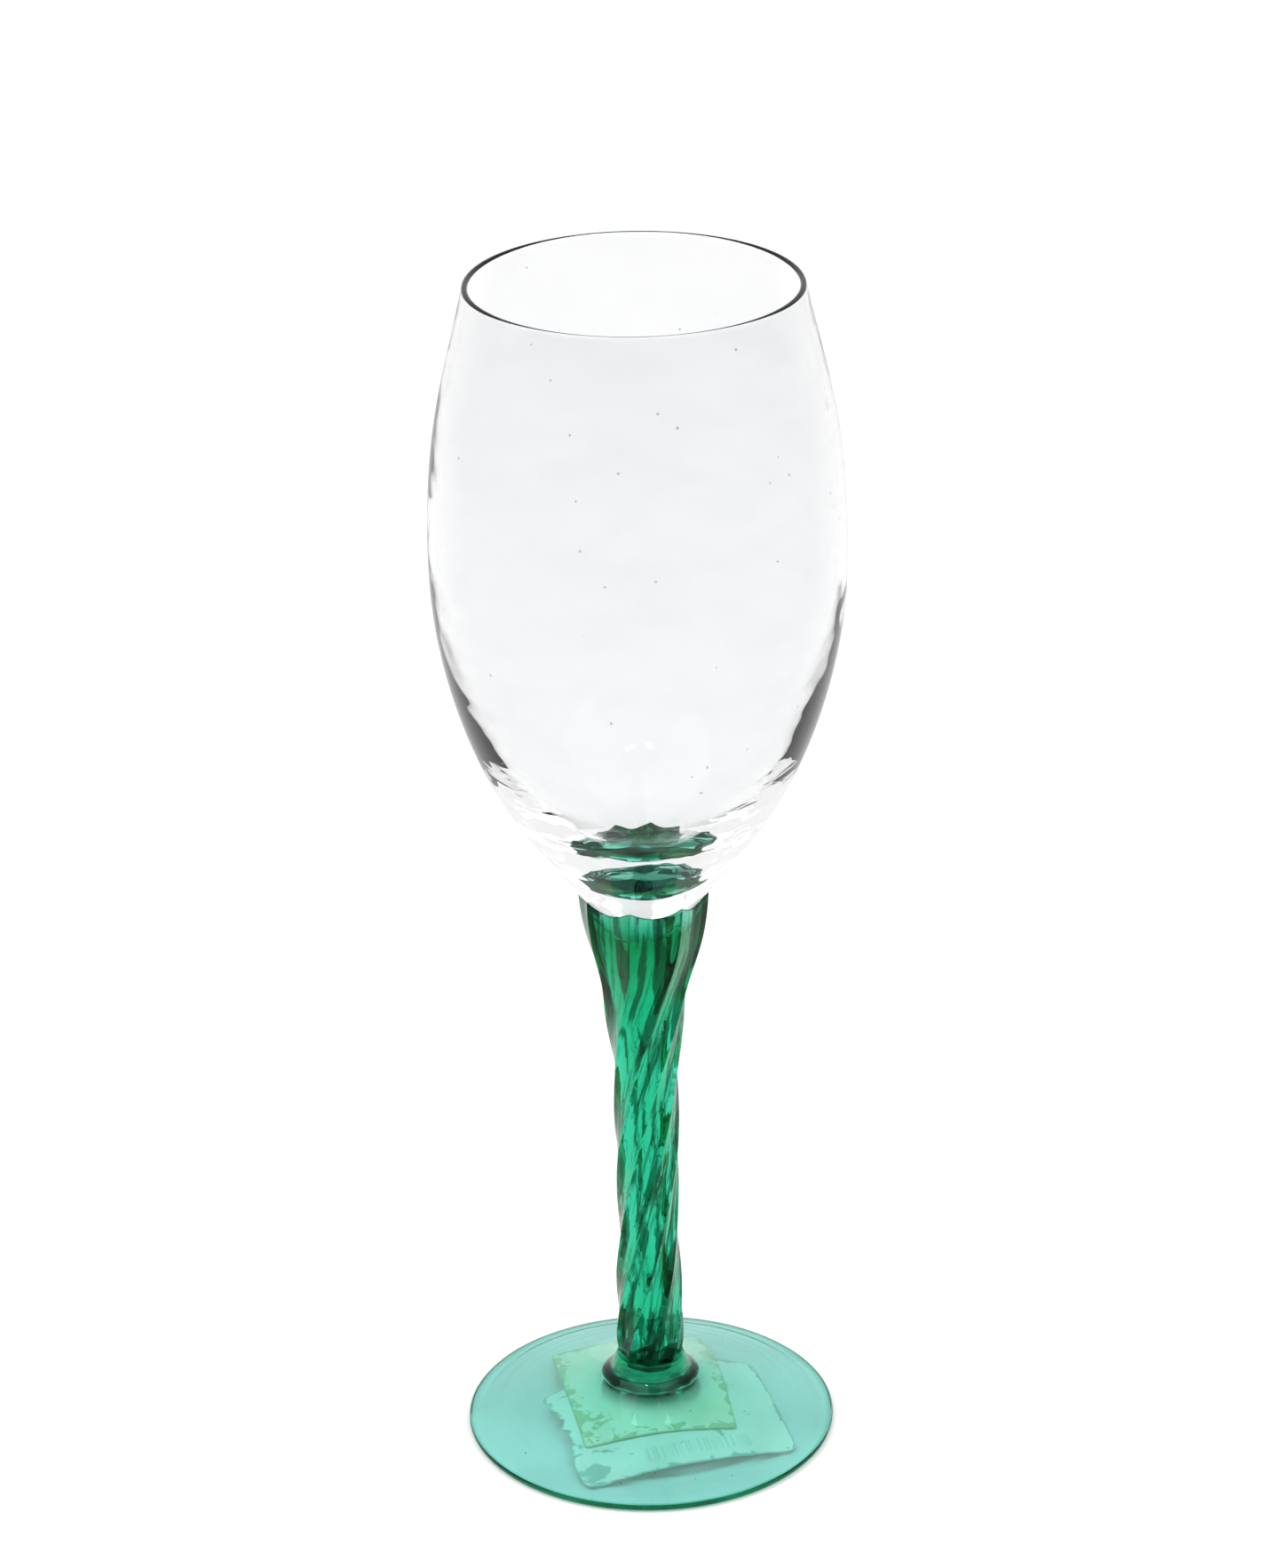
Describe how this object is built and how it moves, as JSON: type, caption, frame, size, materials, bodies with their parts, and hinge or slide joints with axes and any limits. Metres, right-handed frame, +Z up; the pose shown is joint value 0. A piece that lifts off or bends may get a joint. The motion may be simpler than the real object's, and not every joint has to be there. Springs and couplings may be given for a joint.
{
  "type": "wine glass",
  "caption": "Stemmed wine glass: clear tulip bowl with a thick base, fused to a twisted, ridged green glass stem on a conical green foot.",
  "frame": {"origin": "centre of the ring that the foot rests on, on the glass's axis", "axes": "+Z up along the axis, towards the rim; -Y faces the viewer"},
  "size_m": [0.0746, 0.0746, 0.228],
  "materials": {
    "clear_glass": "clear, fire-polished",
    "green_glass": "transparent green, solid, fire-polished",
    "foot_glass": "the same green glass as the stem, pale because it is thin",
    "label_paper_cream": "matt sticker paper, yellowed",
    "label_paper_white": "matt sticker paper, wrinkled at one corner"
  },
  "bodies": {
    "root": {"bowl": "clear_glass", "stem": "green_glass", "foot_collar": "green_glass", "foot": "foot_glass", "price_label_small": "label_paper_cream", "price_label_large": "label_paper_white"}
  },
  "joints": []
}
